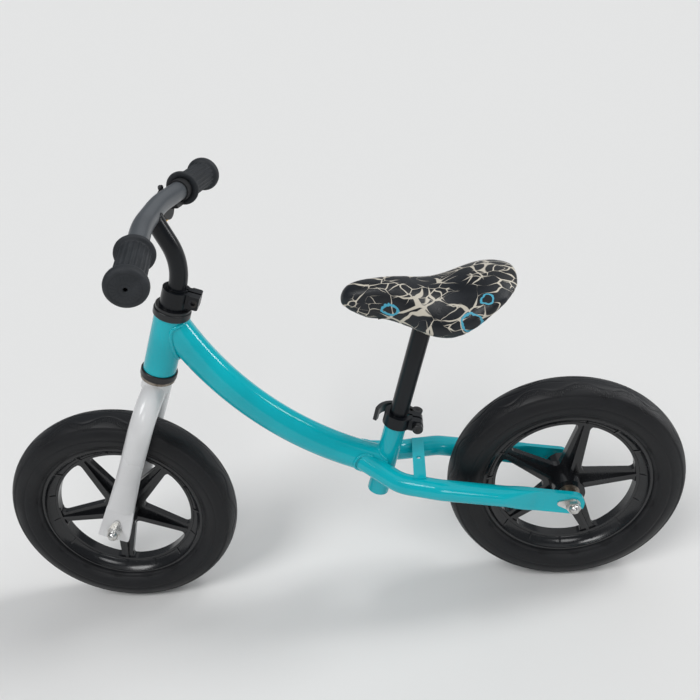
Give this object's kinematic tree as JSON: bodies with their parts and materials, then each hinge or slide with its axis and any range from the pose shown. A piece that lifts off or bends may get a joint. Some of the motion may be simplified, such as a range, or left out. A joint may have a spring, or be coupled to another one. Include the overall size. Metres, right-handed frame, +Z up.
{
  "type": "balance bike",
  "caption": "Child's balance bike with a curved tube frame, raked fork, moulded foam-tyred wheels, bent handlebar with bell, and a quick-release padded seat.",
  "frame": {"origin": "on the floor, midway between the wheel axles, in the bike's middle plane", "axes": "+X forwards, +Y to the rider's left, +Z up"},
  "size_m": [0.858, 0.3462, 0.5565],
  "materials": {
    "frame_paint": "gloss turquoise powder coat",
    "fork_paint": "gloss white powder coat",
    "black_paint": "satin black paint",
    "bar_paint": "dark grey enamel",
    "black_plastic": "moulded black, slightly glossy",
    "matte_black": "grained black moulding",
    "tyre_foam": "closed-cell foam, matt charcoal",
    "grip_rubber": "matt moulded rubber",
    "seat_cover": "printed synthetic leather over foam",
    "zinc_steel": "zinc plated",
    "bell_brass": "polished"
  },
  "bodies": {
    "frame": {"main_tube": "frame_paint", "head_tube": "frame_paint", "seat_tube": "frame_paint", "left_stay": "frame_paint", "right_stay": "frame_paint", "stay_bridge": "frame_paint", "upper_cup": "black_plastic", "lower_cup": "black_plastic", "upper_ball_ring": "zinc_steel", "lower_ball_ring": "zinc_steel", "seat_collar": "black_paint", "clamp_skewer": "zinc_steel", "clamp_knob": "black_plastic", "clamp_cam_pin": "zinc_steel", "rear_axle": "zinc_steel", "rear_axle_nuts": "zinc_steel", "rear_tab_washers": "zinc_steel", "rear_axle_cones": "zinc_steel", "rear_axle_sleeve": "zinc_steel", "rear_bearing_inners": "zinc_steel"},
    "fork": {"steerer": "black_paint", "crown_seat": "fork_paint", "left_fork_leg": "fork_paint", "right_fork_leg": "fork_paint", "upper_race": "black_plastic", "lower_race": "zinc_steel", "stem_collar": "black_paint", "stem_clamp_bolt": "zinc_steel", "stem_clamp_nut": "zinc_steel", "front_axle": "zinc_steel", "front_axle_nuts": "zinc_steel", "front_tab_washers": "zinc_steel", "front_axle_cones": "zinc_steel", "front_axle_sleeve": "zinc_steel", "front_bearing_inners": "zinc_steel"},
    "front_wheel": {"front_tyre": "tyre_foam", "front_rim": "black_plastic", "front_bearing_outers": "zinc_steel"},
    "rear_wheel": {"rear_tyre": "tyre_foam", "rear_rim": "black_plastic", "rear_bearing_outers": "zinc_steel"},
    "handlebar": {"stem": "black_paint", "handlebar": "bar_paint", "left_grip": "grip_rubber", "right_grip": "grip_rubber", "bell_bracket": "matte_black", "bell_dome": "bell_brass", "bell_screw": "zinc_steel", "bell_striker_pin": "zinc_steel"},
    "bell_striker": {"bell_striker": "matte_black"},
    "seat": {"seat_pad": "seat_cover", "seat_pan": "matte_black", "seat_post": "black_paint", "seat_cross_pin": "zinc_steel"},
    "clamp_lever": {"clamp_lever": "black_plastic"}
  },
  "joints": [
    {"name": "steering", "type": "hinge", "parent": "frame", "child": "fork", "pos_m": [0.19168, 0, 0.35007], "axis": [-0.3859, 0, 0.9225], "continuous": true},
    {"name": "front_wheel_spin", "type": "hinge", "parent": "fork", "child": "front_wheel", "pos_m": [0.283, 0, 0.146], "axis": [0, 1, 0], "continuous": true},
    {"name": "rear_wheel_spin", "type": "hinge", "parent": "frame", "child": "rear_wheel", "pos_m": [-0.283, 0, 0.146], "axis": [0, 1, 0], "continuous": true},
    {"name": "handlebar_height", "type": "slide", "parent": "fork", "child": "handlebar", "axis": [-0.3859, 0, 0.9225], "range_m": [0, 0.03]},
    {"name": "bell_strike", "type": "hinge", "parent": "handlebar", "child": "bell_striker", "pos_m": [0.17172, -0.05928, 0.53576], "axis": [-0.9874, 0.158, 0.01], "range_deg": [0, 25], "stiffness_Nm_per_rad": 0.02},
    {"name": "seat_height", "type": "slide", "parent": "frame", "child": "seat", "axis": [-0.3007, 0, 0.9537], "range_m": [-0.075, 0.01]},
    {"name": "seat_clamp_lever", "type": "hinge", "parent": "frame", "child": "clamp_lever", "pos_m": [-0.10584, -0.0175, 0.24754], "axis": [0.3007, 0, -0.9537], "range_deg": [0, 130]}
  ]
}
